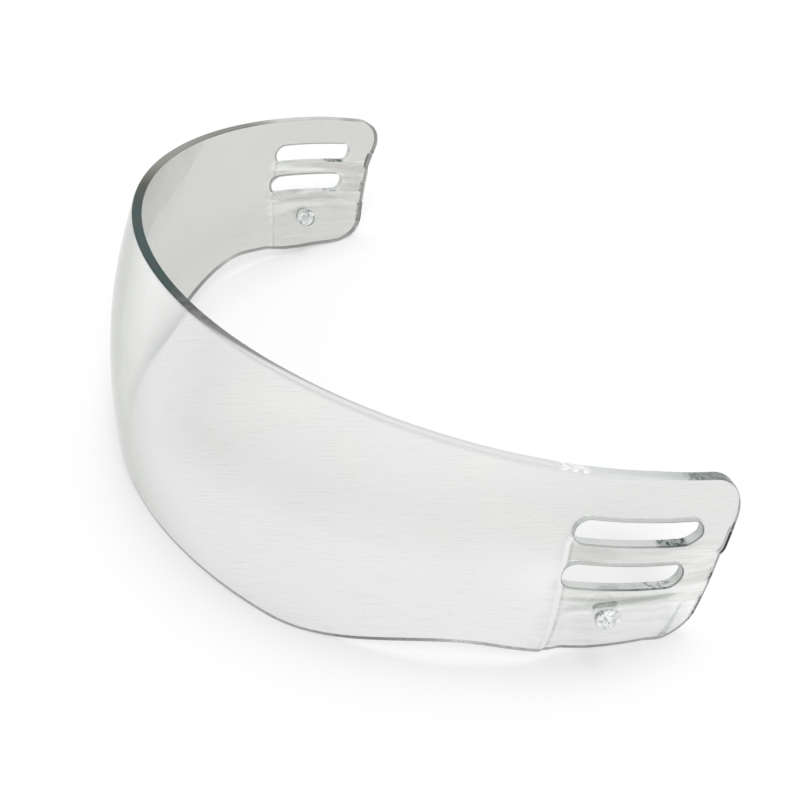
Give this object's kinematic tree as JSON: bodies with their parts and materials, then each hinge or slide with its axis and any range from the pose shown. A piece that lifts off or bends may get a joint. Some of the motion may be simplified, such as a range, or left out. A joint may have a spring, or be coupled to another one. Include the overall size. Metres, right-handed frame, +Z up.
{
  "type": "hockey visor",
  "caption": "Half visor of an ice hockey helmet: a clear sheet bent round the brow, with stepped ends that have mounting slots and a small locating stud",
  "frame": {"origin": "the centre of the visor's outline seen from above, at the level of the surface that it stands on", "axes": "+Z up, -Y to the front of the face, +X to the wearer's left"},
  "size_m": [0.2062, 0.1118, 0.0656],
  "materials": {
    "clear_sheet": "glossy, clear",
    "clear_stud": "glossy, clear"
  },
  "bodies": {
    "root": {"lens": "clear_sheet", "stud_left": "clear_stud", "stud_right": "clear_stud"}
  },
  "joints": []
}
